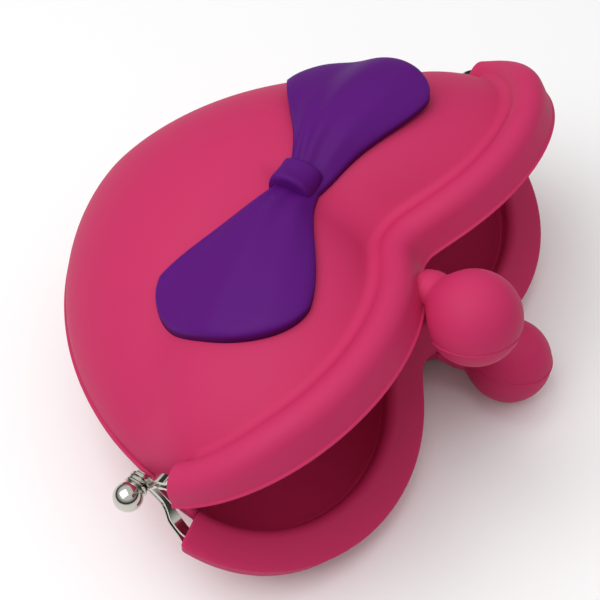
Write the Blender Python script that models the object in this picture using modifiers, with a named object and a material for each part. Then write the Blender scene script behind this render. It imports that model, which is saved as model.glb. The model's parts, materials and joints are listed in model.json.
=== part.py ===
"""Heart-shaped silicone coin purse with a kiss-lock mouth, standing half open on its back.

Lengths are in metres. X runs along the rivet axis, the mouth faces -Y and Z is up.
Each half is first drawn closed and flat: x across, reach from the rivet axis towards
the mouth, height above the plane where the two halves meet. It is then opened about
the rivet axis. Both halves are the same moulding, turned half a turn about the reach axis.
"""
import math

import bmesh
import bpy
from mathutils import Matrix, Vector

# Heart outline of the closed lips
HALF_WIDTH = 0.0525
LOBE_CENTRE_SHARE = 0.461
LOBE_CENTRE = HALF_WIDTH * LOBE_CENTRE_SHARE
LOBE_REACH = 0.0258
WIDEST_REACH = 0.0088
TIP_REACH = 0.0458
DIP_ROUNDING = 0.0031
SIDE_EXPONENT = 1.82

# Pouch
SHELL_INSET = 0.0045
DOME_HEIGHT = 0.0222
DOME_CENTRE_REACH = -0.0043
DOME_EXPONENT = 1.764
WALL = 0.0016
RIM_HEIGHT = 0.0003
HINGE_HEIGHT = 0.0217
FLEX_START = -0.0092
FLEX_END = 0.0087

# Opening of the two halves as photographed
FRONT_OPENING = math.radians(27.7)
BACK_OPENING = math.radians(27.4)

# Lips: half-round beads with a sleeve for the frame
BEAD_WIDTH = 0.0061
BEAD_SIDE_HEIGHT = 0.0042
BEAD_EDGE_ROUND = 0.0007
MEETING_GAP = 0.00025
SLEEVE_REACH = 0.0120
SEAT_CLEARANCE = 0.0003
CUT_OVERRUN = 0.0106

# Kiss-lock fingers
BALL_RADIUS = 0.0073
BALL_SIDE = 0.00815
BALL_REACH = 0.0376
BALL_DROP = 0.0034
NECK_RADIUS_AT_LIP = 0.0040
NECK_RADIUS_AT_BALL = 0.0055
NECK_SIDE = 0.0062
NECK_HEIGHT = 0.0006
NECK_DEPTH = 0.0030

# Studs inside the fingers
STUD_BALL_RADIUS = 0.0045
STUD_STEM_RADIUS = 0.0011
STUD_HEIGHT = 0.0028
BORE_DEPTH = 0.0024

# Frames: one steel strip pressed to a channel and bent to the heart
CHANNEL_OFFSET = 0.0013
CHANNEL_DEPTH = 0.0016
CHANNEL_HEIGHT = 0.0040
CHANNEL_MIDDLE = 0.0036
SHEET = 0.0005
ARM_HEIGHT = 0.0018
ARM_HEIGHT_START = 0.0050
ARM_FLANGE = 0.0001
FLANGE_START = 0.0042
FLANGE_FULL = 0.0078
ARM_RISE_START = 0.0010
ARM_RISE_END = 0.0090
JOG_START = 0.0060
ARM_END_REACH = 0.0016
EAR_RADIUS = 0.0022

# Rivets, just outside the pouch; an ear's place is its inner face
RIVET_RADIUS = 0.0009
RIVET_CLEARANCE = 0.0003
EAR_GAP = 0.00025
EAR_STAND_OFF = 0.00095
OUTER_EAR = HALF_WIDTH - SHELL_INSET + EAR_STAND_OFF
INNER_EAR = OUTER_EAR - EAR_GAP - SHEET
RIVET_BALL_RADIUS = 0.0023
RIVET_WAIST_RADIUS = 0.0016
RIVET_COLLAR_RADIUS = 0.0018
RIVET_COLLAR = 0.0003
RIVET_NECK = 0.0001
RIVET_PEEN_RADIUS = 0.0014
RIVET_PEEN = 0.0004

# Bow, glued on the front; its places are measured on the dome
BOW_SIDE = -0.0008
BOW_REACH = 0.0008
BOW_TILT = math.radians(-5.0)
BOW_WING = 0.0233
BOW_BULGE = 0.0090
BOW_CORNER = 0.0132
BOW_WAIST = 0.0032
BOW_THICKNESS = 0.0022
BOW_FOLD = 0.0008
BOW_KNOT_LENGTH = 0.0062
BOW_KNOT_HALF = 0.0040
BOW_KNOT_THICKNESS = 0.0038
BOW_LIFT = 0.0003
BOW_ROOT_SHARE = 1 / 4
BOW_EDGE_SHARE = 1 / 3
BOW_KNOT_SEAT_SHARE = 1 / 6
BOW_FADE_SHARE = 1 / 2
BOW_SPREAD_EXPONENT = 1.1
BOW_BULGE_EXPONENT = 2
BOW_EDGE_EXPONENT = 8

# Counts
BOW_FOLDS = 3
BISECTIONS = 40
OUTLINE_STEPS = 160
MOUTH_STEPS = 36
SEAM_STEPS = 26
DOME_LEVELS = 9
LIP_STATIONS = 44
BEAD_STEPS = 8
FRAME_STATIONS = 34
ARM_STATIONS = 7
WING_STATIONS = 10
WING_STEPS = 12
BALL_SEGMENTS = 22
ROD_SEGMENTS = 16
RIVET_STEPS = 20

# Edges sharper than this stay crisp
SHARP_ANGLE = math.radians(40)

# Materials: colour, roughness, metallic
SILICONE = ((0.58, 0.040, 0.135, 1.0), 0.55, 0.0)
BOW_SILICONE = ((0.095, 0.008, 0.175, 1.0), 0.45, 0.0)
CHROME = ((0.72, 0.72, 0.70, 1.0), 0.12, 1.0)


def smooth(start, end, value):
    share = min(max((value - start) / (end - start), 0.0), 1.0)
    return share * share * (3.0 - 2.0 * share)


def heart_outline(inset):
    """Closed outline from the tip up the right side, over both lobes and down the left."""
    half = []
    power = 2.0 / SIDE_EXPONENT
    for i in range(OUTLINE_STEPS):
        angle = math.pi / 2 * (1.0 - i / OUTLINE_STEPS)
        x = HALF_WIDTH * math.cos(angle) ** power
        reach = WIDEST_REACH - (TIP_REACH + WIDEST_REACH) * math.sin(angle) ** power
        half.append(Vector((x, reach)))
    lobe_width = HALF_WIDTH - LOBE_CENTRE
    end = math.acos((DIP_ROUNDING - LOBE_CENTRE) / lobe_width)
    stretch = HALF_WIDTH / math.sqrt(HALF_WIDTH ** 2 - DIP_ROUNDING ** 2)
    for i in range(OUTLINE_STEPS + 1):
        angle = end * i / OUTLINE_STEPS
        x = LOBE_CENTRE + lobe_width * math.cos(angle)
        x = stretch * math.sqrt(max(x * x - DIP_ROUNDING ** 2, 0.0))
        half.append(Vector((x, WIDEST_REACH + LOBE_REACH * math.sin(angle))))
    ring = half + [Vector((-p.x, p.y)) for p in half[-2:0:-1]]
    moved = []
    for i, point in enumerate(ring):
        along = ring[(i + 1) % len(ring)] - ring[i - 1]
        moved.append(point + Vector((-along.y, along.x)).normalized() * inset)
    return moved


def resample(points, count):
    """Evenly spaced points on an open line, both ends kept."""
    lengths = [0.0]
    for a, b in zip(points, points[1:]):
        lengths.append(lengths[-1] + (b - a).length)
    result = []
    j = 0
    for i in range(count + 1):
        target = lengths[-1] * i / count
        while j < len(points) - 2 and lengths[j + 1] < target:
            j += 1
        share = (target - lengths[j]) / (lengths[j + 1] - lengths[j])
        result.append(points[j].lerp(points[j + 1], share))
    return result


def resample_closed(ring):
    return resample(ring + ring[:1], MOUTH_STEPS + SEAM_STEPS)[:-1]


def cut_at_reach(ring, level):
    """Part of the outline on the mouth side of a level, right end first, and the rest."""
    mouth, rest = [], []
    for i, a in enumerate(ring):
        b = ring[(i + 1) % len(ring)]
        (mouth if a.y > level else rest).append((i, a))
        if (a.y > level) != (b.y > level):
            cross = a.lerp(b, (level - a.y) / (b.y - a.y))
            (mouth if b.y > level else rest).append((i, cross))
            (rest if b.y > level else mouth).append((i, cross))
    mouth = [p for i, p in sorted(mouth, key=lambda item: item[0])]
    split = next(k for k in range(1, len(rest)) if rest[k][0] - rest[k - 1][0] > 1)
    rest = [p for i, p in rest[split:] + rest[:split]]
    return mouth, rest


def dome_height(share):
    return DOME_HEIGHT * max(1.0 - share ** DOME_EXPONENT, 0.0) ** (1.0 / DOME_EXPONENT)


def dome_ring(level):
    """Rise and size of one of the dome's rings, as shares of its height and its outline."""
    rise = math.sin(math.pi / 2 * level / DOME_LEVELS)
    return rise, (1.0 - rise ** DOME_EXPONENT) ** (1.0 / DOME_EXPONENT)


def place(x, reach, height, side):
    """Closed place to world place on the bent pouch; side is 1 in front and -1 behind."""
    opening = FRONT_OPENING if side > 0 else BACK_OPENING
    angle = opening * smooth(FLEX_START, FLEX_END, reach)
    away = reach * math.cos(angle) - height * math.sin(angle)
    up = reach * math.sin(angle) + height * math.cos(angle)
    return Vector((x, -away, max(HINGE_HEIGHT + side * up, 0.0)))


def material(name, look):
    colour, roughness, metallic = look
    made = bpy.data.materials.new(name)
    made.use_nodes = True
    shader = made.node_tree.nodes["Principled BSDF"]
    shader.inputs["Base Color"].default_value = colour
    shader.inputs["Roughness"].default_value = roughness
    shader.inputs["Metallic"].default_value = metallic
    made.diffuse_color = colour
    return made


def finished(name, bm, collection, look=None):
    bmesh.ops.recalc_face_normals(bm, faces=bm.faces)
    mesh = bpy.data.meshes.new(name)
    bm.to_mesh(mesh)
    bm.free()
    mesh.shade_smooth()
    mesh.set_sharp_from_angle(angle=SHARP_ANGLE)
    obj = bpy.data.objects.new(name, mesh)
    collection.objects.link(obj)
    if look:
        mesh.materials.append(material(name, look))
    else:
        obj.hide_render = True
        obj.display_type = "WIRE"
    return obj


def loft(sections):
    """Closed body through sections of equal length that change shape along a path."""
    bm = bmesh.new()
    rows = [[bm.verts.new(p) for p in section] for section in sections]
    for a, b in zip(rows, rows[1:]):
        for k in range(len(a)):
            n = (k + 1) % len(a)
            bm.faces.new((a[k], a[n], b[n], b[k]))
    bm.faces.new(rows[0])
    bm.faces.new(rows[-1])
    return bm


def cut(obj, cutter, operation="DIFFERENCE"):
    modifier = obj.modifiers.new(cutter.name, "BOOLEAN")
    modifier.operation = operation
    modifier.solver = "EXACT"
    modifier.object = cutter


# Scene
for old in list(bpy.data.objects):
    bpy.data.objects.remove(old)
parts = bpy.data.collections.new("coin_purse")
cutters = bpy.data.collections.new("coin_purse_cutters")
bpy.context.scene.collection.children.link(parts)
bpy.context.scene.collection.children.link(cutters)

front = bpy.data.objects.new("front_half_axis", None)
back = bpy.data.objects.new("back_half_axis", None)
for half in (front, back):
    parts.objects.link(half)
    half.location = (0, 0, HINGE_HEIGHT)
front.rotation_euler = (-FRONT_OPENING, 0, 0)
back.rotation_euler = (Matrix.Rotation(BACK_OPENING, 3, "X") @ Matrix.Rotation(math.pi, 3, "Y")).to_euler()


def local(point, height):
    """Closed place of a half in its own axes."""
    return Vector((point.x, -point.y, height))


# Pouch: two domes in one piece, joined round the tip and open at the mouth
def pouch():
    mouth, rest = cut_at_reach(heart_outline(SHELL_INSET), 0.0)
    mouth = resample(mouth, MOUTH_STEPS)
    rest = resample(rest, SEAM_STEPS)
    ring = mouth + rest[1:-1]
    centre = Vector((0.0, DOME_CENTRE_REACH))
    bm = bmesh.new()
    seam = {}
    for side in (1, -1):
        rows = []
        for level in range(DOME_LEVELS):
            rise, share = dome_ring(level)
            row = []
            for k, point in enumerate(ring):
                spot = centre.lerp(point, share)
                height = DOME_HEIGHT * rise
                if level == 0 and not 0 < k < MOUTH_STEPS:
                    if k not in seam:
                        seam[k] = bm.verts.new((point.x, -point.y, HINGE_HEIGHT))
                    row.append(seam[k])
                    continue
                if level == 0:
                    height = RIM_HEIGHT
                row.append(bm.verts.new(place(spot.x, spot.y, height, side)))
            rows.append(row)
        for a, b in zip(rows, rows[1:]):
            for k in range(len(ring)):
                n = (k + 1) % len(ring)
                bm.faces.new((a[k], a[n], b[n], b[k]))
        top = bm.verts.new(place(0.0, DOME_CENTRE_REACH, DOME_HEIGHT, side))
        for k in range(len(ring)):
            bm.faces.new((rows[-1][k], rows[-1][(k + 1) % len(ring)], top))
    obj = finished("pouch", bm, parts, SILICONE)
    wall = obj.modifiers.new("wall", "SOLIDIFY")
    wall.thickness = WALL
    wall.offset = -1.0
    wall.use_even_offset = True
    return obj


def lip_path():
    mouth, _ = cut_at_reach(heart_outline(0.0), SLEEVE_REACH)
    return resample(mouth, LIP_STATIONS)


def inward(points, i):
    along = points[min(i + 1, len(points) - 1)] - points[max(i - 1, 0)]
    return Vector((-along.y, along.x)).normalized()


def swept(points, profile):
    """Sections of a profile of (inset, height) pairs along a flat line."""
    sections = []
    for i, point in enumerate(points):
        normal = inward(points, i)
        sections.append([local(point + normal * inset, height) for inset, height in profile])
    return sections


def bead_profile():
    radius = BEAD_WIDTH / 2
    profile = [(BEAD_WIDTH, MEETING_GAP), (BEAD_EDGE_ROUND, MEETING_GAP),
               (0.0, MEETING_GAP + BEAD_EDGE_ROUND)]
    for i in range(BEAD_STEPS):
        angle = math.pi * i / (BEAD_STEPS - 1)
        profile.append((radius - radius * math.cos(angle), BEAD_SIDE_HEIGHT + radius * math.sin(angle)))
    return profile


def finger_route():
    """Roots of the finger's neck and of its stud on the lip, and its ball's middle, in closed places."""
    points = lip_path()
    i = min(range(len(points)), key=lambda k: abs(points[k].x + NECK_SIDE))
    stud_root = points[i] + inward(points, i) * (CHANNEL_OFFSET - SEAT_CLEARANCE - STUD_STEM_RADIUS / 2)
    centre = local(Vector((-BALL_SIDE, BALL_REACH)), -BALL_DROP)
    return local(points[i], NECK_HEIGHT), local(stud_root, STUD_HEIGHT), centre


def ball(centre, radius, name, collection=cutters, look=None):
    bm = bmesh.new()
    segments = 2 * round(BALL_SEGMENTS * math.sqrt(radius / BALL_RADIUS) / 2)
    bmesh.ops.create_uvsphere(bm, u_segments=segments, v_segments=segments // 2 + 1, radius=radius,
                              matrix=Matrix.Translation(centre))
    return finished(name, bm, collection, look)


def rod(start, end, radius_start, radius_end, name):
    bm = bmesh.new()
    axis = end - start
    matrix = Matrix.Translation((start + end) / 2) @ axis.to_track_quat("Z", "Y").to_matrix().to_4x4()
    bmesh.ops.create_cone(bm, cap_ends=True, segments=ROD_SEGMENTS, radius1=radius_start, radius2=radius_end,
                          depth=axis.length, matrix=matrix)
    return finished(name, bm, cutters)


def dome_cutter():
    """Solid of the dome grown by the seat clearance, run through the meeting plane."""
    ring = resample_closed(heart_outline(SHELL_INSET - SEAT_CLEARANCE))
    centre = Vector((0.0, DOME_CENTRE_REACH))
    sections = [[local(p, -CUT_OVERRUN) for p in ring]]
    for level in range(DOME_LEVELS):
        rise, share = dome_ring(level)
        sections.append([local(centre.lerp(p, share), (DOME_HEIGHT + SEAT_CLEARANCE) * rise) for p in ring])
    return finished("dome_cutter", loft(sections), cutters)


def meeting_cutter():
    """Heart prism that keeps the finger's neck out of the other half's lip."""
    ring = resample_closed(heart_outline(-SEAT_CLEARANCE))
    sections = [[local(p, height) for p in ring] for height in (-CUT_OVERRUN, MEETING_GAP / 2)]
    return finished("meeting_cutter", loft(sections), cutters)


def sleeve_cutter():
    path = lip_path()
    path = [path[0] * 2 - path[1]] + path[1:-1] + [path[-1] * 2 - path[-2]]
    near = CHANNEL_OFFSET - SEAT_CLEARANCE
    far = CHANNEL_OFFSET + CHANNEL_DEPTH + SEAT_CLEARANCE
    low = CHANNEL_MIDDLE - CHANNEL_HEIGHT / 2 - SEAT_CLEARANCE
    high = CHANNEL_MIDDLE + CHANNEL_HEIGHT / 2 + SEAT_CLEARANCE
    return finished("sleeve_cutter", loft(swept(path, [(near, low), (far, low), (far, high), (near, high)])),
                    cutters)


def lip():
    """Bead, finger and ball in one moulding, hollowed for the frame and its stud."""
    root, stud_root, centre = finger_route()
    bore = STUD_STEM_RADIUS + SEAT_CLEARANCE
    obj = finished("lip", loft(swept(lip_path(), bead_profile())), parts, SILICONE)
    deep = root + (root - centre).normalized() * NECK_DEPTH
    cut(obj, rod(deep, centre, NECK_RADIUS_AT_LIP, NECK_RADIUS_AT_BALL, "neck"), "UNION")
    cut(obj, ball(centre, BALL_RADIUS, "ball"), "UNION")
    cut(obj, dome_cutter())
    cut(obj, meeting_cutter())
    cut(obj, sleeve_cutter())
    bore_start = stud_root + (stud_root - centre).normalized() * BORE_DEPTH
    cut(obj, rod(bore_start, centre, bore, bore, "stud_stem_bore"))
    cut(obj, ball(centre, STUD_BALL_RADIUS + SEAT_CLEARANCE, "stud_ball_bore"))
    return applied(obj)


def applied(obj):
    """Mesh of an object with its modifiers, to be shared by both halves."""
    graph = bpy.context.evaluated_depsgraph_get()
    mesh = bpy.data.meshes.new_from_object(obj.evaluated_get(graph))
    bpy.data.objects.remove(obj)
    return mesh


def frame_path():
    """Outer face of the frame's web: x, reach, height of its middle, flange depth, strip height."""
    mouth, _ = cut_at_reach(heart_outline(CHANNEL_OFFSET + CHANNEL_DEPTH), SLEEVE_REACH)
    run = resample(mouth, FRAME_STATIONS)
    flange = CHANNEL_DEPTH - SHEET

    def arm(end, ear_x):
        rows = []
        for i in range(ARM_STATIONS):
            reach = SLEEVE_REACH + (ARM_END_REACH - SLEEVE_REACH) * (i + 1) / ARM_STATIONS
            jog = smooth(JOG_START, SLEEVE_REACH, reach)
            x = ear_x + (end.x - ear_x) * jog
            rise = CHANNEL_MIDDLE * smooth(ARM_RISE_START, ARM_RISE_END, reach)
            depth = ARM_FLANGE + (flange - ARM_FLANGE) * smooth(FLANGE_START, FLANGE_FULL, reach)
            tall = ARM_HEIGHT + (CHANNEL_HEIGHT - ARM_HEIGHT) * smooth(ARM_HEIGHT_START, SLEEVE_REACH, reach)
            rows.append((Vector((x, reach)), rise, depth, tall))
        return rows

    right = arm(run[0], INNER_EAR)
    left = arm(run[-1], -OUTER_EAR)
    middle = [(p, CHANNEL_MIDDLE, flange, CHANNEL_HEIGHT) for p in run]
    return right[::-1] + middle + left


def frame():
    rows = frame_path()
    points = [row[0] for row in rows]
    sections = []
    for i, (point, rise, depth, tall) in enumerate(rows):
        normal = inward(points, i)
        low, high = rise - tall / 2, rise + tall / 2
        outer = SHEET + depth
        profile = [(0.0, low), (0.0, high), (outer, high), (outer, high - SHEET), (SHEET, high - SHEET),
                   (SHEET, low + SHEET), (outer, low + SHEET), (outer, low)]
        sections.append([local(point - normal * away, height) for away, height in profile])
    obj = finished("frame", loft(sections), parts, CHROME)
    hole = RIVET_RADIUS + RIVET_CLEARANCE
    for side, ear in ((1, INNER_EAR), (-1, OUTER_EAR)):
        faces = [Vector((side * x, 0, 0)) for x in (ear - SHEET, ear, ear + SHEET, ear + 2 * SHEET)]
        cut(obj, rod(faces[1], faces[2], EAR_RADIUS, EAR_RADIUS, "ear"), "UNION")
        cut(obj, rod(faces[0], faces[3], hole, hole, "rivet_hole"))
    return applied(obj)


def stud():
    _, root, centre = finger_route()
    obj = ball(centre, STUD_BALL_RADIUS, "clasp_stud", parts, CHROME)
    cut(obj, rod(root, centre, STUD_STEM_RADIUS, STUD_STEM_RADIUS, "stem"), "UNION")
    return applied(obj)


def rivet(name, side):
    """Turned ball-headed rivet; its profile runs from the ball's crown to the peened end."""
    seat = OUTER_EAR + SHEET + EAR_GAP
    peen = INNER_EAR - EAR_GAP
    waist = seat + RIVET_COLLAR + RIVET_NECK
    centre = waist + math.sqrt(RIVET_BALL_RADIUS ** 2 - RIVET_WAIST_RADIUS ** 2)
    profile = []
    last = math.pi - math.asin(RIVET_WAIST_RADIUS / RIVET_BALL_RADIUS)
    for i in range(BEAD_STEPS):
        angle = last * i / (BEAD_STEPS - 1)
        profile.append((RIVET_BALL_RADIUS * math.sin(angle), centre + RIVET_BALL_RADIUS * math.cos(angle)))
    profile += [(RIVET_COLLAR_RADIUS, seat + RIVET_COLLAR), (RIVET_COLLAR_RADIUS, seat),
                (RIVET_RADIUS, seat), (RIVET_RADIUS, peen), (RIVET_PEEN_RADIUS, peen),
                (RIVET_PEEN_RADIUS, peen - RIVET_PEEN / 2), (RIVET_RADIUS, peen - RIVET_PEEN),
                (0.0, peen - RIVET_PEEN)]
    bm = bmesh.new()
    verts = [bm.verts.new((r, 0, z)) for r, z in profile]
    for a, b in zip(verts, verts[1:]):
        bm.edges.new((a, b))
    mesh = bpy.data.meshes.new(name)
    bm.to_mesh(mesh)
    bm.free()
    obj = bpy.data.objects.new(name, mesh)
    parts.objects.link(obj)
    mesh.materials.append(material(name, CHROME))
    turn = obj.modifiers.new("turn", "SCREW")
    turn.steps = turn.render_steps = RIVET_STEPS
    turn.use_merge_vertices = True
    turn.merge_threshold = 0.00001
    turn.use_smooth_shade = True
    obj.rotation_euler = (0, side * math.pi / 2, 0)
    obj.location = (0, 0, HINGE_HEIGHT)


# Bow: two fan-shaped wings gathered under a band, lying on the front dome
RING = heart_outline(SHELL_INSET)


def dome_share(spot):
    """How far a closed place lies from the dome's middle, as a share of the way to its edge."""
    centre = Vector((0.0, DOME_CENTRE_REACH))
    ray = spot - centre
    if ray.length == 0.0:
        return 0.0
    for a, b in zip(RING, RING[1:] + RING[:1]):
        p, q = a - centre, b - centre
        span = ray.x * (q.y - p.y) - ray.y * (q.x - p.x)
        if span == 0.0:
            continue
        along = (p.x * q.y - p.y * q.x) / span
        across = (p.x * ray.y - p.y * ray.x) / span
        if along > 0.0 and 0.0 <= across <= 1.0:
            return 1.0 / along
    return 1.0


def on_front(x, away):
    """World place on the open front dome above a point that is given as it is seen from above."""
    low, high = -TIP_REACH, TIP_REACH
    for _ in range(BISECTIONS):
        middle = (low + high) / 2
        height = dome_height(min(dome_share(Vector((x, middle))), 1.0))
        if -place(x, middle, height, 1).y < away:
            low = middle
        else:
            high = middle
    return place(x, middle, height, 1)


def wing(side):
    """One wing: rows across the fan, each row bulging outwards in its middle."""
    sections = []
    turn = Matrix.Rotation(BOW_TILT, 2)
    root = BOW_KNOT_LENGTH * BOW_ROOT_SHARE
    low_edge = BOW_LIFT + BOW_THICKNESS * BOW_EDGE_SHARE
    for i in range(WING_STATIONS + 1):
        out = i / WING_STATIONS
        spread = BOW_WAIST + (BOW_CORNER - BOW_WAIST) * out ** BOW_SPREAD_EXPONENT
        top, bottom = [], []
        for k in range(WING_STEPS + 1):
            across = -math.cos(math.pi * k / WING_STEPS)
            reach = spread * across
            x = root + (BOW_WING - root) * out
            x += BOW_BULGE * out ** BOW_BULGE_EXPONENT * math.sin(math.pi * k / WING_STEPS)
            spot = turn @ Vector((side * x, reach))
            base = on_front(BOW_SIDE + spot.x, BOW_REACH + spot.y)
            fold = BOW_FOLD * math.cos(BOW_FOLDS * math.pi * across) * (1.0 - BOW_FADE_SHARE * out)
            crown = math.sqrt(max(1.0 - across ** BOW_EDGE_EXPONENT, 0.0))
            bottom.append(base + Vector((0, 0, BOW_LIFT)))
            top.append(base + Vector((0, 0, low_edge + (BOW_THICKNESS + fold) * crown)))
        sections.append(top + bottom[::-1])
    return loft(sections)


def bow():
    """Left wing, knot and right wing in one moulding."""
    obj = finished("bow", wing(-1), parts, BOW_SILICONE)
    right = finished("bow_right_wing", wing(1), cutters)
    sections = []
    turn = Matrix.Rotation(BOW_TILT, 2)
    low = BOW_LIFT + BOW_THICKNESS * BOW_KNOT_SEAT_SHARE
    for i in range(WING_STEPS + 1):
        angle = math.pi * i / WING_STEPS
        reach = -BOW_KNOT_HALF * math.cos(angle)
        rise = BOW_LIFT + BOW_THICKNESS * BOW_EDGE_SHARE + BOW_KNOT_THICKNESS * math.sin(angle)
        row = []
        for x, up in ((-BOW_KNOT_LENGTH / 2, rise), (BOW_KNOT_LENGTH / 2, rise),
                      (BOW_KNOT_LENGTH / 2, low), (-BOW_KNOT_LENGTH / 2, low)):
            spot = turn @ Vector((x, reach))
            row.append(on_front(BOW_SIDE + spot.x, BOW_REACH + spot.y) + Vector((0, 0, up)))
        sections.append(row)
    knot = finished("bow_knot", loft(sections), cutters)
    cut(obj, knot, "UNION")
    cut(obj, right, "UNION")


pouch()
for piece, mesh in (("lip", lip()), ("frame", frame()), ("clasp_stud", stud())):
    for half_name, half in (("front", front), ("back", back)):
        obj = bpy.data.objects.new(half_name + "_" + piece, mesh)
        parts.objects.link(obj)
        obj.parent = half
rivet("left_rivet", -1)
rivet("right_rivet", 1)
bow()
bpy.context.view_layer.update()
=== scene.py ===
import bisect
import json
import math

import bmesh
import bpy
from mathutils import Matrix, Vector


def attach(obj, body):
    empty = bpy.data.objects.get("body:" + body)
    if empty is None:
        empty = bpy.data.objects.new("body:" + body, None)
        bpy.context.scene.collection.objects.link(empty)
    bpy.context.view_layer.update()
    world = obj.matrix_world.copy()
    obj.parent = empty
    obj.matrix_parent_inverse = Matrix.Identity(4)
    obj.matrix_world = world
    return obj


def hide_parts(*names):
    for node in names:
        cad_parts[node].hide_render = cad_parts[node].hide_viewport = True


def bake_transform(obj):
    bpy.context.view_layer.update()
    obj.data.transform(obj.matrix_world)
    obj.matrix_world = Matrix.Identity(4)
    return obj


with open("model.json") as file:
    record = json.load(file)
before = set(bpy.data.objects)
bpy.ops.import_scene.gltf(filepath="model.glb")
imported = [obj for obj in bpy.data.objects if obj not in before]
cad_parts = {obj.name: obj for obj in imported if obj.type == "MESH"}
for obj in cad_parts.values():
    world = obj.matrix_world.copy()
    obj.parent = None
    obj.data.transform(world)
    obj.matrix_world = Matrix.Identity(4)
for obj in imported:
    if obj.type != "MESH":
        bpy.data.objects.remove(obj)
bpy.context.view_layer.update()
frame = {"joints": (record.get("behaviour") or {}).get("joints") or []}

# Camera
# The purse was photographed from the front left and above, from about a hand's length
# away, with the camera turned slightly clockwise.
HINGE_HEIGHT = frame["joints"][0]["pos_m"][2]
LENS_SHARE = 1298.4 / 600
SENSOR_WIDTH = 36.0
CAMERA_PLACE = Vector((-0.1223, -0.0825, HINGE_HEIGHT + 0.1634))
CAMERA_TARGET = Vector((-0.00691, -0.00324, HINGE_HEIGHT))
CAMERA_ROLL = -0.092
NEAREST_SHOWN = 0.01

ahead = (CAMERA_TARGET - CAMERA_PLACE).normalized()
across = ahead.cross(Vector((0, 0, 1))).normalized()
above = across.cross(ahead)
right = across * math.cos(CAMERA_ROLL) + above * math.sin(CAMERA_ROLL)
up = above * math.cos(CAMERA_ROLL) - across * math.sin(CAMERA_ROLL)
camera_data = bpy.data.cameras.new("camera")
camera_data.sensor_width = SENSOR_WIDTH
camera_data.lens = SENSOR_WIDTH * LENS_SHARE
camera_data.clip_start = NEAREST_SHOWN
camera = bpy.data.objects.new("camera", camera_data)
bpy.context.scene.collection.objects.link(camera)
camera_turn = Matrix((right, up, -ahead)).transposed().to_4x4()
camera.matrix_world = Matrix.Translation(CAMERA_PLACE) @ camera_turn
bpy.context.scene.camera = camera

# Floor and light
# The purse lies on white paper in a pale room, under a large soft lamp above it on the left,
# so its shadow falls softly and close to it on the right.
PAPER_HALF = 2.0
PAPER_COLOUR = (0.93, 0.93, 0.93, 1)
ROOM_STRENGTH = 0.80
ROOM_DARK_BELOW = 0.15
ROOM_PALE_ABOVE = 0.60
ROOM_DARK = (0.04, 0.04, 0.035, 1)
ROOM_PALE = (1, 1, 1, 1)
BACKDROP_COLOUR = (0.9, 0.9, 0.9, 1)
LAMP_SIZE = 0.5
LAMP_POWER = 1.8
LAMP_PLACE = (-0.19, 0.12, 0.5)
floor_mesh = bpy.data.meshes.new("floor")
bm = bmesh.new()
bmesh.ops.create_grid(bm, x_segments=1, y_segments=1, size=PAPER_HALF)
bm.to_mesh(floor_mesh)
bm.free()
floor = bpy.data.objects.new("floor", floor_mesh)
bpy.context.scene.collection.objects.link(floor)
paper = bpy.data.materials.new("paper")
paper.use_nodes = True
shader = paper.node_tree.nodes["Principled BSDF"]
shader.inputs["Base Color"].default_value = PAPER_COLOUR
floor_mesh.materials.append(paper)

world = bpy.data.worlds.new("studio")
bpy.context.scene.world = world
world.use_nodes = True
tree = world.node_tree
background = tree.nodes["Background"]
background.inputs["Strength"].default_value = ROOM_STRENGTH
direction = tree.nodes.new("ShaderNodeTexCoord")
up_share = tree.nodes.new("ShaderNodeSeparateXYZ")
room = tree.nodes.new("ShaderNodeValToRGB")
room.color_ramp.elements[0].position = ROOM_DARK_BELOW
room.color_ramp.elements[0].color = ROOM_DARK
room.color_ramp.elements[1].position = ROOM_PALE_ABOVE
room.color_ramp.elements[1].color = ROOM_PALE
backdrop = tree.nodes.new("ShaderNodeBackground")
backdrop.inputs["Color"].default_value = BACKDROP_COLOUR
kind_of_ray = tree.nodes.new("ShaderNodeLightPath")
seen_or_felt = tree.nodes.new("ShaderNodeMixShader")
tree.links.new(direction.outputs["Generated"], up_share.inputs[0])
tree.links.new(up_share.outputs["Z"], room.inputs[0])
tree.links.new(room.outputs["Color"], background.inputs["Color"])
tree.links.new(kind_of_ray.outputs["Is Camera Ray"], seen_or_felt.inputs[0])
tree.links.new(background.outputs[0], seen_or_felt.inputs[1])
tree.links.new(backdrop.outputs[0], seen_or_felt.inputs[2])
tree.links.new(seen_or_felt.outputs[0], tree.nodes["World Output"].inputs["Surface"])
lamp_data = bpy.data.lights.new("softbox", "AREA")
lamp_data.size = LAMP_SIZE
lamp_data.energy = LAMP_POWER
lamp = bpy.data.objects.new("softbox", lamp_data)
bpy.context.scene.collection.objects.link(lamp)
lamp.location = LAMP_PLACE
lamp.rotation_euler = (-lamp.location).to_track_quat("-Z", "Y").to_euler()
bpy.context.scene.view_settings.view_transform = "Standard"

# Pouch walls
# Two domed walls of soft pink silicone, cast as one piece in a two-part mould that leaves a
# fine parting line round the closed sides. Each wall is drawn closed and flat, as x, reach
# from the rivets towards the mouth and height, and is then bent open about the rivets.
HALF_WIDTH = 0.0525
LOBE_CENTRE = 0.0242
LOBE_REACH = 0.0258
WIDEST_REACH = 0.0088
TIP_REACH = 0.0458
DIP_ROUNDING = 0.0031
SIDE_EXPONENT = 1.82
SHELL_INSET = 0.0045
DOME_HEIGHT = 0.0222
DOME_CENTRE = Vector((0.0, -0.0043))
DOME_EXPONENT = 1.764
WALL = 0.0016
FRONT_OPENING = math.radians(27.7)
BACK_OPENING = math.radians(27.4)
FLEX_START = -0.0092
FLEX_END = 0.0087
FLEX_WIDER = 0.0056
FAR_SWELL = 0.0010
FAR_SWELL_RISES = (0.4, 0.9)
FAR_SWELL_SIDES = (-0.005, 0.018)
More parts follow.
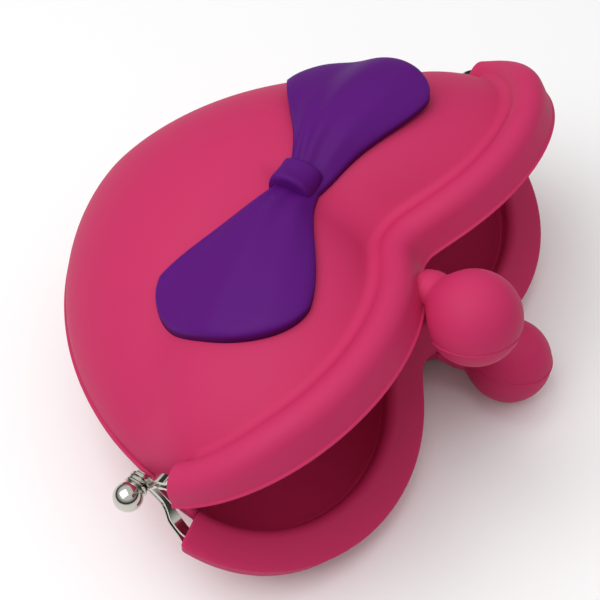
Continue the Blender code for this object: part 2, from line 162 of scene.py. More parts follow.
FRONT_BEND_END = (0, -0.00545, HINGE_HEIGHT + 0.0078)
BACK_BEND_END = (0, -0.0092, HINGE_HEIGHT - 0.0053)
RIM_STEP = 0.006
PARTING_LINE = 0.0002
PARTING_RUN = 0.0030
BARE_RIM = 0.0003
HIDDEN_RIM = 0.0022
RIM_SHOWN_TO = 0.0085
RIM_HIDDEN_FROM = 0.0125
OUTLINE_STEPS = 300
WALL_STATIONS = 480
WALL_LEVELS = 34
SLEEVE_REACH = 0.0120
BEAD_RADIUS = 0.00305
BEAD_CENTRE_HEIGHT = 0.0042
END_DROP = 0.0020
END_RUN = 0.0220
CREASE_RADIUS = 0.0017
CREASE_FOOT = 0.0070
CREASE_TANGENT = 0.0002
CREASE_ROUNDS = 6
CREASE_STEPS = 8
CREASE_FROM = 0.0125
CREASE_FULL = 0.0170
LAP = ((0.08, 0.00001), (0.18, 0.00008), (0.26, 0.00060))
LAP_INSET = 0.0047
LAP_HEIGHTS = (HIDDEN_RIM + 0.0010, HIDDEN_RIM)
EDGE_ROWS = CREASE_STEPS + 1 + len(LAP) + len(LAP_HEIGHTS)
EDGE_SPACING = 1.8
MERGE_DISTANCE = 0.000002
silicone = bpy.data.materials.new("pink_silicone")
silicone.use_nodes = True
shader = silicone.node_tree.nodes["Principled BSDF"]
shader.inputs["Base Color"].default_value = (0.53, 0.025, 0.112, 1)
shader.inputs["Roughness"].default_value = 0.6
shader.inputs["Specular IOR Level"].default_value = 0.2


def smooth(start, end, value):
    """Share from 0 at the start to 1 at the end, level at both."""
    share = min(max((value - start) / (end - start), 0.0), 1.0)
    return share * share * (3.0 - 2.0 * share)


def heart():
    """Outline of the closed lips from the tip up the right side, over both lobes and back."""
    half = []
    power = 2.0 / SIDE_EXPONENT
    depth = TIP_REACH + WIDEST_REACH
    for i in range(OUTLINE_STEPS):
        angle = math.pi / 2 * (1.0 - i / OUTLINE_STEPS)
        half.append(Vector((HALF_WIDTH * math.cos(angle) ** power,
                            WIDEST_REACH - depth * math.sin(angle) ** power)))
    lobe_width = HALF_WIDTH - LOBE_CENTRE
    end = math.acos((DIP_ROUNDING - LOBE_CENTRE) / lobe_width)
    stretch = HALF_WIDTH / math.sqrt(HALF_WIDTH ** 2 - DIP_ROUNDING ** 2)
    for i in range(OUTLINE_STEPS + 1):
        angle = end * i / OUTLINE_STEPS
        x = LOBE_CENTRE + lobe_width * math.cos(angle)
        x = stretch * math.sqrt(max(x * x - DIP_ROUNDING ** 2, 0.0))
        half.append(Vector((x, WIDEST_REACH + LOBE_REACH * math.sin(angle))))
    return half + [Vector((-p.x, p.y)) for p in half[-2:0:-1]]


def stations(points, count):
    """Evenly spaced places on a line, each with its direction inwards from the edge."""
    lengths = [0.0]
    for a, b in zip(points, points[1:]):
        lengths.append(lengths[-1] + (b - a).length)
    spots = []
    for i in range(count + 1):
        target = lengths[-1] * i / count
        j = min(max(bisect.bisect(lengths, target) - 1, 0), len(points) - 2)
        share = (target - lengths[j]) / (lengths[j + 1] - lengths[j])
        spots.append(points[j].lerp(points[j + 1], share))
    result = []
    for i, spot in enumerate(spots):
        along = spots[min(i + 1, count)] - spots[max(i - 1, 0)]
        result.append((spot, Vector((-along.y, along.x)).normalized()))
    return result


def opened(x, reach, height, side, share=1.0):
    """Closed place to world place on a stiff half; side is 1 in front and -1 behind."""
    angle = (FRONT_OPENING if side > 0 else BACK_OPENING) * share
    away = reach * math.cos(angle) - height * math.sin(angle)
    rise = reach * math.sin(angle) + height * math.cos(angle)
    return Vector((x, -away, HINGE_HEIGHT + side * rise))


def bent(x, reach, height, side):
    """The same on the soft wall, which bends at the rivets and lies on the paper."""
    if side < 0:
        place = opened(x, reach, height, side, smooth(FLEX_START, FLEX_END, reach))
        place.z = max(min(place.z, HINGE_HEIGHT), 0.0)
        return place
    rise = height / DOME_HEIGHT
    wider = FLEX_WIDER * rise
    height += FAR_SWELL * smooth(*FAR_SWELL_RISES, rise) * smooth(*FAR_SWELL_SIDES, x)
    place = opened(x, reach, height, side, smooth(FLEX_START - wider, FLEX_END + wider, reach))
    place.z = max(place.z, HINGE_HEIGHT)
    return place


def dome(share):
    """Rise of the outer surface over a ring with that share of the full size, or the reverse."""
    return max(1.0 - share ** DOME_EXPONENT, 0.0) ** (1.0 / DOME_EXPONENT)


def piece(name, sheets, body=None, look=silicone):
    """Mesh object of sheets; each sheet's function places its point in column i and row j."""
    bm = bmesh.new()
    for columns, rows, place_point in sheets:
        made = bmesh.ops.create_grid(bm, x_segments=columns, y_segments=rows, size=1.0)
        for vert in made["verts"]:
            column = round((vert.co.x + 1) / 2 * columns)
            vert.co = place_point(column, round((vert.co.y + 1) / 2 * rows))
    bmesh.ops.remove_doubles(bm, verts=bm.verts, dist=MERGE_DISTANCE)
    bmesh.ops.recalc_face_normals(bm, faces=bm.faces)
    mesh = bpy.data.meshes.new(name)
    bm.to_mesh(mesh)
    bm.free()
    mesh.shade_smooth()
    mesh.materials.append(look)
    obj = bpy.data.objects.new(name, mesh)
    bpy.context.scene.collection.objects.link(obj)
    if body:
        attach(obj, body)
    return obj


def arc(centre, radius, start, end, steps):
    """Points on an arc from one angle to another, both included."""
    turns = [start + (end - start) * i / steps for i in range(steps + 1)]
    return [(centre[0] + radius * math.cos(turn), centre[1] + radius * math.sin(turn))
            for turn in turns]


outline = heart()
wall_stations = stations(outline + outline[:1], WALL_STATIONS)
wall_stations[0] = wall_stations[-1] = (wall_stations[0][0], Vector((0.0, 1.0)))
rays = [spot + inwards * SHELL_INSET - DOME_CENTRE for spot, inwards in wall_stations[:-1]]
rays = sorted((math.atan2(ray.y, ray.x), ray.length) for ray in rays)
rays = [(a - math.tau, r) for a, r in rays[-2:]] + rays + [(a + math.tau, r) for a, r in rays[:2]]
ray_angles = [a for a, r in rays]


def dome_above(spot):
    """Height of a wall's outer surface over a closed place."""
    ray = spot - DOME_CENTRE
    angle = math.atan2(ray.y, ray.x)
    k = bisect.bisect(ray_angles, angle)
    (a, near), (b, far) = rays[k - 1], rays[k]
    edge = near + (far - near) * (angle - a) / (b - a)
    return DOME_HEIGHT * dome(min(ray.length / edge, 1.0))


def bead_centre(end_distance):
    """Inset and height of the bead's centre, which drops towards the lip's ends."""
    drop = END_DROP * (1.0 - smooth(0.0, END_RUN, end_distance))
    return BEAD_RADIUS, BEAD_CENTRE_HEIGHT - drop


def crease_rows(spot, inwards, bead):
    """Rounded crease between wall and bead, then on into the bead, as inset and height."""
    inset = CREASE_FOOT
    reach = BEAD_RADIUS + CREASE_RADIUS
    for _ in range(CREASE_ROUNDS):
        foot, next_foot = [Vector((d, dome_above(spot + inwards * d)))
                           for d in (inset, inset + CREASE_TANGENT)]
        slope = (next_foot - foot).normalized()
        outwards = Vector((-slope.y, slope.x))
        facing = math.atan2(outwards.y, outwards.x)
        apart = CREASE_RADIUS - (Vector(bead) - foot).dot(outwards)
        turn = facing - math.acos(apart / reach)
        centre = (bead[0] + reach * math.cos(turn), bead[1] + reach * math.sin(turn))
        inset = centre[0] - CREASE_RADIUS * outwards.x
    rows = arc(centre, CREASE_RADIUS, facing + math.pi, turn + math.pi, CREASE_STEPS)
    for further, deeper in LAP:
        radius = BEAD_RADIUS - deeper
        rows.append((bead[0] + radius * math.cos(turn + further),
                     bead[1] + radius * math.sin(turn + further)))
    return rows + [(LAP_INSET, height) for height in LAP_HEIGHTS]


def rim_height(reach):
    """Height of the wall's rim, which sinks into the lip where there is one."""
    bare = BARE_RIM * smooth(0.0, PARTING_RUN, reach)
    hidden = smooth(RIM_SHOWN_TO, RIM_HIDDEN_FROM, reach)
    return PARTING_LINE + bare + (HIDDEN_RIM - BARE_RIM) * hidden


def wall_column(spot, inwards, end_distance):
    """Closed places and heights down the outside, round the rim and up the inside."""
    low = rim_height(spot.y)
    plain = []
    for k in range(EDGE_ROWS):
        share = (1.0 - k / (EDGE_ROWS - 1)) ** EDGE_SPACING
        inset = SHELL_INSET + (CREASE_FOOT - SHELL_INSET) * share
        plain.append(Vector((inset, max(dome_above(spot + inwards * inset), low))))
    creased = smooth(CREASE_FROM, CREASE_FULL, spot.y)
    edge = plain
    if creased > 0.0:
        rows = crease_rows(spot, inwards, bead_centre(end_distance))
        edge = [p.lerp(Vector(q), creased) for p, q in zip(plain, rows)]
    foot = spot + inwards * edge[0].x
    start = dome_above(foot) / DOME_HEIGHT
    column = []
    for k in range(WALL_LEVELS):
        rise = start + (1.0 - start) * math.sin(math.pi / 2 * (1.0 - k / WALL_LEVELS))
        place = DOME_CENTRE.lerp(foot, dome(rise) / dome(start))
        column.append((place, dome_above(place) if k else DOME_HEIGHT))
    column += [(spot + inwards * inset, height) for inset, height in edge]
    half_wall = max(WALL / 2 * smooth(0.0, PARTING_RUN, spot.y), PARTING_LINE)
    column.append((spot + inwards * (SHELL_INSET + half_wall),
                   max(low - PARTING_LINE - BARE_RIM, 0.0)))
    top = DOME_HEIGHT - WALL
    low = low / top if spot.y > 0.0 else 0.0
    inner = spot + inwards * (SHELL_INSET + WALL)
    for k in range(WALL_LEVELS + 1):
        rise = low + (1.0 - low) * math.sin(math.pi / 2 * k / WALL_LEVELS)
        column.append((DOME_CENTRE.lerp(inner, dome(rise)), top * rise))
    return column


mouth = [i for i, (spot, inwards) in enumerate(wall_stations) if spot.y > SLEEVE_REACH]
wall_step = (wall_stations[1][0] - wall_stations[0][0]).length
first_step = min(max(wall_stations[mouth[0]][0].y - SLEEVE_REACH, 0.0), wall_step)
wall_columns = [wall_column(spot, inwards,
                            wall_step * max(min(i - mouth[0], mouth[-1] - i), 0) + first_step)
                for i, (spot, inwards) in enumerate(wall_stations)]


def wall_point(i, j, side):
    """Point of a wall; along the parting line the front steps inwards and the back outwards."""
    place, height = wall_columns[i][j]
    step = RIM_STEP * (1.0 - smooth(0.0, SLEEVE_REACH, wall_stations[i][0].y))
    place = place.lerp(DOME_CENTRE, side * step)
    return bent(place.x, place.y, height, side)


def wall(name, side):
    rows = len(wall_columns[0]) - 1
    return piece(name, [(WALL_STATIONS, rows, lambda i, j: wall_point(i, j, side))])


front_wall = wall("front_wall", 1)
back_wall = wall("back_wall", -1)
for obj, half, bend_end in ((front_wall, "front_half", FRONT_BEND_END),
                            (back_wall, "back_half", BACK_BEND_END)):
    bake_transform(obj)
    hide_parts("pouch")

# Lips
# Each wall ends in a half-round lip of the same silicone, cut off blunt near the rivets, with
# the steel frame pushed into a channel in it and a ball on a short finger beside the dip. A
# thin flash along its lower edge and a ring round the ball show where the mould halves met.
BEAD_STEPS = 30
HIDDEN_STEP = 0.00002
FLASH = ((0.0, 0.00300), (0.0, 0.00180), (0.0, 0.00110), (0.00002, 0.00080), (-0.00010, 0.00062),
         (-0.00022, 0.00050), (-0.00025, 0.00038), (-0.00014, 0.00026), (0.00008, 0.00016))
FLASH_ROOT = 0.00080
MEETING_HEIGHT = 0.000125
MEETING_START = 0.0004
MEETING_STEPS = 4
MEETING_ROUND = 0.0018
MEETING_ROUND_STEPS = 7
HIDDEN_FROM = 0.0027
HIDDEN_TO = 0.0034
HIDDEN_MIDDLE = (0.0063, 0.0037)
END_SLANT = 0.28
END_SLANT_HEIGHT = 0.0022
END_SLANT_RUN = 0.0060
END_LONGER = 0.0006
END_ROUND = 0.0005
END_MIDDLE = (0.0034, 0.0028)
LIP_STATIONS = 420
END_ROWS = 4


def lip_section(spot, inwards, end_distance):
    """Closed section of the lip as inset and height, over the bead and back inside the wall."""
    bead = bead_centre(end_distance)
    section = arc(bead, BEAD_RADIUS, 0.0, math.pi, BEAD_STEPS)
    lower = (bead[1] - BEAD_CENTRE_HEIGHT) / (BEAD_CENTRE_HEIGHT - FLASH_ROOT)
    section += [(inset, height + max(height - FLASH_ROOT, 0.0) * lower) for inset, height in FLASH]
    width = (spot + inwards * (SHELL_INSET + WALL) - DOME_CENTRE).dot(-inwards)

    def inner(height):
        return SHELL_INSET + WALL + (1.0 - dome(height / (DOME_HEIGHT - WALL))) * width

    meeting_end = inner(MEETING_HEIGHT + MEETING_ROUND) + HIDDEN_STEP - MEETING_ROUND
    for i in range(MEETING_STEPS):
        share = i / MEETING_STEPS
        section.append((MEETING_START + (meeting_end - MEETING_START) * share, MEETING_HEIGHT))
    section += arc((meeting_end, MEETING_HEIGHT + MEETING_ROUND), MEETING_ROUND,
                   -math.pi / 2, 0.0, MEETING_ROUND_STEPS)
    section += [(inner(HIDDEN_FROM) + HIDDEN_STEP, HIDDEN_FROM),
                (inner(HIDDEN_TO) - HIDDEN_STEP, HIDDEN_TO), HIDDEN_MIDDLE]
    section.append(section[0])
    return section


def mouth_run(line, count):
    """Stations on a line's mouth side, from where the sleeve begins on the right to its end."""
    reached = [i for i, p in enumerate(line) if p.y > SLEEVE_REACH]
    return stations(line[reached[0]:reached[-1] + 1], count)


lip_run = mouth_run(outline, LIP_STATIONS)
lip_step = (lip_run[1][0] - lip_run[0][0]).length
lip_sections = [lip_section(spot, inwards, lip_step * min(i, LIP_STATIONS - i))
                for i, (spot, inwards) in enumerate(lip_run)]
SECTION_POINTS = len(lip_sections[0]) - 1


def lip_point(i, j, side):
    """Point of the lip, its ends leaning, rounded off and closed."""
    row = i - END_ROWS
    i = min(max(row, 0), LIP_STATIONS)
    past = abs(row - i)
    spot, inwards = lip_run[i]
    inset, height = lip_sections[i][j]
    turn = math.pi / 2 * min(past / (END_ROWS - 1), 1.0)
    shrink = END_ROUND / BEAD_RADIUS * (1.0 - math.cos(turn)) if past < END_ROWS else 1.0
    inset += (END_MIDDLE[0] - inset) * shrink
    height += (END_MIDDLE[1] - height) * shrink
    distance = lip_step * min(i, LIP_STATIONS - i)
    lean = END_SLANT * (END_SLANT_HEIGHT - height) * (1.0 - smooth(0.0, END_SLANT_RUN, distance))
    lean += END_LONGER + END_ROUND * math.sin(turn)
    onwards = Vector((inwards.y, -inwards.x)) * (-1 if i < LIP_STATIONS / 2 else 1)
    place = spot + inwards * inset + onwards * lean
    return opened(place.x, place.y, height, side)


BALL_RADIUS = 0.0073
BALL_CENTRE = Vector((0.00815, 0.0376, -0.0034))
BALL_START = 0.0056
NECK_SHARE = 0.35
NECK_SIDE = 0.0063
NECK_HEIGHT = 0.0
NECK_RADIUS_AT_LIP = 0.0031
NECK_FLARE = 0.0006
NECK_FLARE_RUN = 0.0030
NECK_RADIUS_AT_BALL = 0.0055
NECK_DEPTH = 0.0026
NECK_END_ROUND = 0.0010
NECK_RAISED_FROM = 0.0009
NECK_RAISED_TO = 0.0024
NECK_BLEND = 0.0016
NECK_CLEARANCE = 0.0006
NECK_STEP = 0.0005
NECK_LOW_RUN = 0.0010
NECK_SUNK = 0.0001
NECK_LIFT_RUN = 0.0040
FINGER_AROUND = 96
FINGER_ALONG = 90
SEAM_FACING = Vector((-0.17, 0.33, 0.94)).normalized()
SEAM_OFFSET = 0.0016
SEAM_RADIUS = 0.00016
SEAM_AROUND = 160
SEAM_STEPS = 8
root_spot = min((spot for spot, inwards in lip_run if spot.x > 0),
                key=lambda spot: abs(spot.x - NECK_SIDE))
neck_root = Vector((root_spot.x, root_spot.y, NECK_HEIGHT))
neck_axis = BALL_CENTRE - neck_root
neck_length = neck_axis.length
neck_axis.normalize()
neck_side = neck_axis.orthogonal().normalized()
neck_up = neck_axis.cross(neck_side)
neck_growth = NECK_RADIUS_AT_BALL - NECK_RADIUS_AT_LIP


def clear_of_lip(place, t):
    """Moves a low point of the finger out of the space into which the other lip closes."""
    low = 1.0 - smooth(MEETING_HEIGHT, MEETING_HEIGHT + NECK_LOW_RUN, place.z)
    if low == 0.0:
        return place
    flat = Vector((place.x, place.y))
    spot, inwards = min(lip_run, key=lambda item: (item[0] - flat).length)
    inside = low * max((flat - spot).dot(inwards) + NECK_CLEARANCE, 0.0)
    lift = smooth(0.0, NECK_STEP, inside) * (1.0 - smooth(0.0, NECK_LIFT_RUN, t))
    inside *= smooth(-NECK_DEPTH, 0.0, t)
    return Vector((place.x - inwards.x * inside, place.y - inwards.y * inside,
                   place.z + max(MEETING_HEIGHT + NECK_SUNK - place.z, 0.0) * lift))


def neck_radius(t, rounded):
    """Radius of the finger's neck, whose upper side is rounded off inside the lip."""
    neck = NECK_RADIUS_AT_LIP + neck_growth * min(max(t / neck_length, 0.0), 1.0)
    neck += NECK_FLARE * (1.0 - smooth(0.0, NECK_FLARE_RUN, t))
    rounding = max(NECK_END_ROUND - t, 0.0) / (NECK_END_ROUND + NECK_DEPTH)
    return neck * (1.0 - rounded * (1.0 - math.sqrt(max(1.0 - rounding ** 2, 0.0))))


def finger_point(i, j, side):
    """Round neck that swells into the ball; row 0 closes its root inside the lip."""
    share = max(j - 1, 0) / (FINGER_ALONG - 1)
    if share < NECK_SHARE:
        t = (neck_length - BALL_START + NECK_DEPTH) * share / NECK_SHARE - NECK_DEPTH
    else:
        first_turn = math.acos(-BALL_START / BALL_RADIUS)
        turn = first_turn * (1.0 - share) / (1.0 - NECK_SHARE)
        t = neck_length + BALL_RADIUS * math.cos(turn)
    angle = math.tau * i / FINGER_AROUND
    away = neck_side * math.cos(angle) + neck_up * math.sin(angle)
    height = (neck_root + neck_axis * t + away * NECK_RADIUS_AT_LIP).z
    raised = smooth(NECK_RAISED_FROM, NECK_RAISED_TO, height)
    neck = neck_radius(t, raised)
    ball = math.sqrt(max(BALL_RADIUS ** 2 - (t - neck_length) ** 2, 0.0))
    radius = ball
    if t < neck_length:
        blend = max(NECK_BLEND - abs(neck - ball), 0.0) ** 2 / (4.0 * NECK_BLEND)
        radius = max(neck, ball) + blend
    if j == 0:
        radius = 0.0
    place = clear_of_lip(neck_root + neck_axis * t + away * radius, t)
    return opened(-side * place.x, place.y, place.z, side)


def seam_point(i, j, side):
    """Fine ridge round the ball where the mould halves met."""
    first = SEAM_FACING.orthogonal().normalized()
    second = SEAM_FACING.cross(first)
    angle, turn = math.tau * i / SEAM_AROUND, math.tau * j / SEAM_STEPS
    radius = math.sqrt(BALL_RADIUS ** 2 - SEAM_OFFSET ** 2) + SEAM_RADIUS * math.cos(turn)
    place = BALL_CENTRE + (first * math.cos(angle) + second * math.sin(angle)) * radius
    place += SEAM_FACING * (SEAM_RADIUS * math.sin(turn) - SEAM_OFFSET)
    place = clear_of_lip(place, neck_length)
    return opened(-side * place.x, place.y, place.z, side)


def lip(name, side):
    sheets = [(LIP_STATIONS + 2 * END_ROWS, SECTION_POINTS, lambda i, j: lip_point(i, j, side)),
              (FINGER_AROUND, FINGER_ALONG, lambda i, j: finger_point(i, j, side)),
              (SEAM_AROUND, SEAM_STEPS, lambda i, j: seam_point(i, j, side))]
    obj = piece(name + "_lip_moulding", sheets, name + "_half")
    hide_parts(name + "_lip")


lip("front", 1)
lip("back", -1)

# Frames
# One steel strip each, pressed to a channel, bent to the heart and nickel plated. Past the
# ends of the lips the channel narrows to a flat arm with a round ear for the rivet.
CHANNEL_OFFSET = 0.0013
CHANNEL_DEPTH = 0.0016
CHANNEL_HEIGHT = 0.0040
CHANNEL_MIDDLE = 0.0036
CHANNEL_DROP = 0.0010
SHEET = 0.0005
ARM_HEIGHT = 0.0018
ARM_HEIGHT_START = 0.0098
ARM_FLANGE = 0.0001
FLANGE_START = 0.0042
FLANGE_FULL = 0.0078
ARM_RISE_START = 0.0010
ARM_RISE_END = 0.0090
JOG_START = 0.0060
ARM_END_REACH = 0.0016
EAR_RADIUS = 0.0018
EAR_GAP = 0.00025
OUTER_EAR = 0.04895
INNER_EAR = OUTER_EAR - EAR_GAP - SHEET
EDGE_ROUND = 0.00012
EDGE_ROUND_STEPS = 2
SHARP_ANGLE = math.radians(35)
FRAME_STATIONS = 150
STRIP_CORNERS = 8
ARM_STATIONS = 30
EAR_AROUND = 64
EAR_SECTION = ((0.0, 0.0), (0.0, 1.0), (1.0, 1.0), (1.0, 0.0))
chrome = bpy.data.materials.new("bright_plating")
chrome.use_nodes = True
shader = chrome.node_tree.nodes["Principled BSDF"]
shader.inputs["Base Color"].default_value = (0.56, 0.55, 0.50, 1)
shader.inputs["Metallic"].default_value = 1.0
shader.inputs["Roughness"].default_value = 0.12


def frame_rows():
    """Outer face of the web: place, height of its middle, flange depth and strip height."""
    inset = CHANNEL_OFFSET + CHANNEL_DEPTH
    edge = [p + n * inset for p, n in stations(outline + outline[:1], len(outline))]
    run = mouth_run(edge, FRAME_STATIONS)
    flange = CHANNEL_DEPTH - SHEET

    def arm(end, ear_x):
        rows = []
        for i in range(1, ARM_STATIONS + 1):
            reach = SLEEVE_REACH + (ARM_END_REACH - SLEEVE_REACH) * i / ARM_STATIONS
            x = ear_x + (end.x - ear_x) * smooth(JOG_START, SLEEVE_REACH, reach)
            rise = smooth(ARM_RISE_START, ARM_RISE_END, reach)
            deeper = smooth(FLANGE_START, FLANGE_FULL, reach)
            taller = smooth(ARM_HEIGHT_START, SLEEVE_REACH, reach)
            rows.append((Vector((x, reach)), (CHANNEL_MIDDLE - CHANNEL_DROP) * rise,
                         ARM_FLANGE + (flange - ARM_FLANGE) * deeper,
                         ARM_HEIGHT + (CHANNEL_HEIGHT - ARM_HEIGHT) * taller))
        return rows

    step = (run[1][0] - run[0][0]).length
    middle = []
    for i, (place, _) in enumerate(run):
        raised = smooth(0.0, END_RUN, step * min(i, FRAME_STATIONS - i))
        middle.append((place, CHANNEL_MIDDLE - CHANNEL_DROP * (1.0 - raised),
                       flange, CHANNEL_HEIGHT))
    return arm(run[0][0], INNER_EAR)[::-1] + middle + arm(run[-1][0], -OUTER_EAR)


strip = frame_rows()


def strip_point(i, j, side):
    """Point of the channel; the first and last rows close its ends."""
    k = min(max(i - 1, 0), len(strip) - 1)
    place, middle, depth, tall = strip[k]
    along = strip[min(k + 1, len(strip) - 1)][0] - strip[max(k - 1, 0)][0]
    inwards = Vector((-along.y, along.x)).normalized()
    low, high, outer = middle - tall / 2, middle + tall / 2, SHEET + depth
    section = ((0.0, low), (0.0, high), (outer, high), (outer, high - SHEET),
               (SHEET, high - SHEET), (SHEET, low + SHEET), (outer, low + SHEET), (outer, low))
    away, height = section[j % STRIP_CORNERS]
    if not 0 <= i - 1 < len(strip):
        away, height = SHEET / 2, middle
    spot = place - inwards * away
    return opened(side * spot.x, spot.y, height, side)


def ear_point(i, j, side, face):
    """Point of the round ear at an arm's end; face is the side on which its inner face lies."""
    thick, share = EAR_SECTION[j]
    angle = math.tau * i / EAR_AROUND
    radius = EAR_RADIUS * share
    x = face + math.copysign(SHEET * thick, face)
    return opened(side * x, radius * math.sin(angle), radius * math.cos(angle), side)


def channel_frame(name, side):
    ear_rows = len(EAR_SECTION) - 1
    sheets = [(len(strip) + 1, STRIP_CORNERS, lambda i, j: strip_point(i, j, side)),
              (EAR_AROUND, ear_rows, lambda i, j: ear_point(i, j, side, INNER_EAR)),
              (EAR_AROUND, ear_rows, lambda i, j: ear_point(i, j, side, -OUTER_EAR))]
    obj = piece(name + "_channel_frame", sheets, name + "_half", chrome)
    obj.data.set_sharp_from_angle(angle=SHARP_ANGLE)
    edge = obj.modifiers.new("edge", "BEVEL")
    edge.width = EDGE_ROUND
    edge.segments = EDGE_ROUND_STEPS
    edge.limit_method = "ANGLE"
    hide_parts(name + "_frame")


channel_frame("front", 1)
channel_frame("back", -1)

# Clasp studs
# A steel ball on a stem, turned in one piece, stiffens each finger and gives the clasp its
# snap. The silicone is moulded over it, so it doesn't show.
STUD_BALL_RADIUS = 0.0045
STUD_STEM_RADIUS = 0.0011
STUD_ROOT_HEIGHT = 0.0014
STUD_AROUND = 48
STUD_BALL_STEPS = 30
stud_root = Vector((root_spot.x, root_spot.y, STUD_ROOT_HEIGHT))
stud_axis = BALL_CENTRE - stud_root
stud_profile = [(0.0, 0.0), (0.0, STUD_STEM_RADIUS)]
stud_profile += arc((stud_axis.length, 0.0), STUD_BALL_RADIUS,
                    math.pi - math.asin(STUD_STEM_RADIUS / STUD_BALL_RADIUS), 0.0,
                    STUD_BALL_STEPS)
stud_axis.normalize()
stud_side = stud_axis.orthogonal().normalized()
stud_up = stud_axis.cross(stud_side)


def stud_point(i, j, side):
    along, radius = stud_profile[j]
    angle = math.tau * i / STUD_AROUND
    away = stud_side * math.cos(angle) + stud_up * math.sin(angle)
    place = stud_root + stud_axis * along + away * radius
    return opened(-side * place.x, place.y, place.z, side)


def clasp_stud(name, side):
    sheet = (STUD_AROUND, len(stud_profile) - 1, lambda i, j: stud_point(i, j, side))
    obj = piece(name + "_turned_stud", [sheet], name + "_half", chrome)
    obj.data.set_sharp_from_angle(angle=SHARP_ANGLE)
    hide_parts(name + "_clasp_stud")


clasp_stud("front", 1)
clasp_stud("back", -1)

# Rivets
# A turned steel rivet with a ball head goes through the two ears on each side and is peened
# over on the inside. It is plated like the frames.
RIVET_RADIUS = 0.0009
RIVET_BALL_RADIUS = 0.0023
RIVET_BALL_CENTRE = 0.05175
RIVET_WAIST_RADIUS = 0.0015
RIVET_COLLAR_RADIUS = 0.0020
RIVET_COLLAR_EDGE = 0.0001
RIVET_COLLAR_THICKNESS = 0.0003
RIVET_PEEN_RADIUS = 0.0014
RIVET_PEEN = 0.0004
RIVET_AROUND = 64
RIVET_BALL_STEPS = 28
rivet_seat = OUTER_EAR + SHEET + EAR_GAP
collar_end = rivet_seat + RIVET_COLLAR_THICKNESS
rivet_peen = INNER_EAR - EAR_GAP
rivet_profile = arc((RIVET_BALL_CENTRE, 0.0), RIVET_BALL_RADIUS, 0.0,
                    math.pi - math.asin(RIVET_WAIST_RADIUS / RIVET_BALL_RADIUS), RIVET_BALL_STEPS)
rivet_profile += [(collar_end, RIVET_COLLAR_RADIUS - RIVET_COLLAR_EDGE),
                  (collar_end - RIVET_COLLAR_EDGE, RIVET_COLLAR_RADIUS),
                  (rivet_seat, RIVET_COLLAR_RADIUS), (rivet_seat, RIVET_RADIUS),
                  (rivet_peen, RIVET_RADIUS), (rivet_peen, RIVET_PEEN_RADIUS),
                  (rivet_peen - RIVET_PEEN / 2, RIVET_PEEN_RADIUS),
                  (rivet_peen - RIVET_PEEN, RIVET_RADIUS), (rivet_peen - RIVET_PEEN, 0.0)]


def rivet(name, side):
    def put(i, j):
        along, radius = rivet_profile[j]
        angle = math.tau * i / RIVET_AROUND
        return Vector((side * along, radius * math.cos(angle),
                       HINGE_HEIGHT + radius * math.sin(angle)))

    sheet = (RIVET_AROUND, len(rivet_profile) - 1, put)
    obj = piece("turned_" + name, [sheet], "back_half", chrome)
    obj.data.set_sharp_from_angle(angle=SHARP_ANGLE)
    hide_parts(name)


rivet("left_rivet", -1)
rivet("right_rivet", 1)

# Bow
# A separate purple silicone moulding glued on the front wall: two fan-shaped wings with
# folds that run out from a raised knot band. An edge is its half breadth at the knot and at
# the corner, and the shares of the wing between which it widens.
BOW_SIDE = -0.0015
BOW_REACH = 0.0009
BOW_TILT = math.radians(-5.0)
BOW_WING = 0.0224
BOW_BULGE = 0.0090
BOW_MOUTH_EDGE = (0.0036, 0.0130, -0.10, 1.08)
BOW_TIP_EDGE = (0.0024, 0.0138, 0.04, 1.25)
BOW_EDGE = 0.0017
BOW_PUFF = 0.0010
BOW_PUFF_RUN = 0.5
BOW_PUFF_FADE = 0.6
BOW_ROOT_DROP = 0.0006
BOW_ROOT_RUN = 0.4
BOW_FOLD = 0.00025
BOW_FOLDS = 3
BOW_FOLD_RUN = 0.3
BOW_FOLD_FADE = 0.7
BOW_LIFT = 0.0001
BOW_CURL = 0.0030
BOW_CURL_FADE = 0.6
BOW_LOW_EDGE = 0.0010
BOW_EDGE_EXPONENT = 26
KNOT_LENGTH = 0.0056
KNOT_HALF = 0.0034
KNOT_THICKNESS = 0.0038
KNOT_END_SHARE = 0.72
KNOT_END_EXPONENT = 8
BISECTIONS = 22
WING_ALONG = 70
WING_ACROSS = 90
KNOT_AROUND = 40
KNOT_ALONG = 24
purple = bpy.data.materials.new("purple_silicone")
purple.use_nodes = True
shader = purple.node_tree.nodes["Principled BSDF"]
shader.inputs["Base Color"].default_value = (0.092, 0.006, 0.165, 1)
shader.inputs["Roughness"].default_value = 0.5
shader.inputs["Specular IOR Level"].default_value = 0.08


def on_front(x, away):
    """World place on the open front wall over a point that is given as seen from above."""
    low, high = -TIP_REACH, TIP_REACH
    for _ in range(BISECTIONS):
        middle = (low + high) / 2
        place = bent(x, middle, dome_above(Vector((x, middle))), 1)
        if -place.y < away:
            low = middle
        else:
            high = middle
    return place


def bow_place(x, reach):
    spot = Matrix.Rotation(BOW_TILT, 2) @ Vector((x, reach))
    return on_front(BOW_SIDE + spot.x, BOW_REACH + spot.y)


def wing_rows(side):
    """Places on the wall under the wing's grid, with the share along and across of each."""
    rows = []
    for i in range(WING_ALONG + 1):
        out = math.sin(math.pi / 2 * i / WING_ALONG)
        mouth_edge, tip_edge = [waist + (corner - waist) * smooth(start, end, out)
                                for waist, corner, start, end in (BOW_MOUTH_EDGE, BOW_TIP_EDGE)]
        row = []
        for k in range(WING_ACROSS + 1):
            turn = math.pi * k / WING_ACROSS
            x = BOW_WING * out + BOW_BULGE * out ** 2 * math.sin(turn)
            spread = tip_edge + (mouth_edge - tip_edge) * (1.0 - math.cos(turn)) / 2
            row.append((bow_place(side * x, -spread * math.cos(turn)), out, -math.cos(turn)))
        rows.append(row)
    return rows


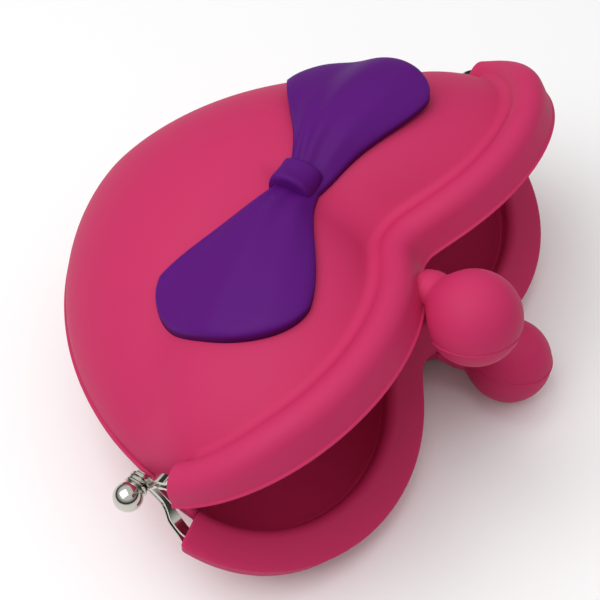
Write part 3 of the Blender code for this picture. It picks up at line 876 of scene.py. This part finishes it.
def wing_sheet(side):
    """Slab with a rounded upper edge, puffed and folded on top; the far wing curls up."""
    rows = wing_rows(side)
    last = 2 * (WING_ACROSS + 1)

    def put(i, j):
        j = j % last
        base, out, sideways = rows[min(i, WING_ALONG)][j if j <= WING_ACROSS else last - 1 - j]
        lift = BOW_LIFT
        if side > 0:
            lift += BOW_CURL * out ** 2 * (1.0 - BOW_CURL_FADE * sideways ** 2)
        if j > WING_ACROSS or i > WING_ALONG:
            return base + Vector((0, 0, lift))
        crown = math.sqrt(max(1.0 - abs(sideways) ** BOW_EDGE_EXPONENT, 0.0))
        crown *= math.sqrt(max(1.0 - out ** (2 * BOW_EDGE_EXPONENT), 0.0))
        puff = BOW_PUFF * (1.0 - sideways ** 2) * smooth(0.0, BOW_PUFF_RUN, out)
        fold = BOW_FOLD * smooth(0.0, BOW_FOLD_RUN, out) * (1.0 - BOW_FOLD_FADE * out)
        rise = (BOW_EDGE - BOW_LOW_EDGE) * crown + puff * (1.0 - BOW_PUFF_FADE * out ** 3)
        rise -= BOW_ROOT_DROP * (1.0 - smooth(0.0, BOW_ROOT_RUN, out))
        rise += fold * math.cos(BOW_FOLDS * math.pi * sideways) * crown
        return base + Vector((0, 0, lift + BOW_LOW_EDGE + rise))

    return (WING_ALONG + 1, last, put)


def knot_put(i, j):
    """Half-round band over the middle; its first and last columns close its ends."""
    turn = math.pi * j / KNOT_AROUND
    share = min(max((i - 1) / (KNOT_ALONG - 2), 0.0), 1.0)
    place = bow_place(KNOT_LENGTH * (share - 0.5), -KNOT_HALF * math.cos(turn))
    rise = 0.0
    if 0 < i < KNOT_ALONG:
        full = math.sqrt(1.0 - abs(2.0 * share - 1.0) ** KNOT_END_EXPONENT)
        rise = math.sqrt(math.sin(turn)) * (KNOT_END_SHARE + (1.0 - KNOT_END_SHARE) * full)
    return place + Vector((0, 0, BOW_LIFT + KNOT_THICKNESS * rise))


bow_sheets = [wing_sheet(-1), wing_sheet(1), (KNOT_ALONG, KNOT_AROUND, knot_put)]
bow = piece("bow_moulding", bow_sheets, "front_half", purple)
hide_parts("bow")
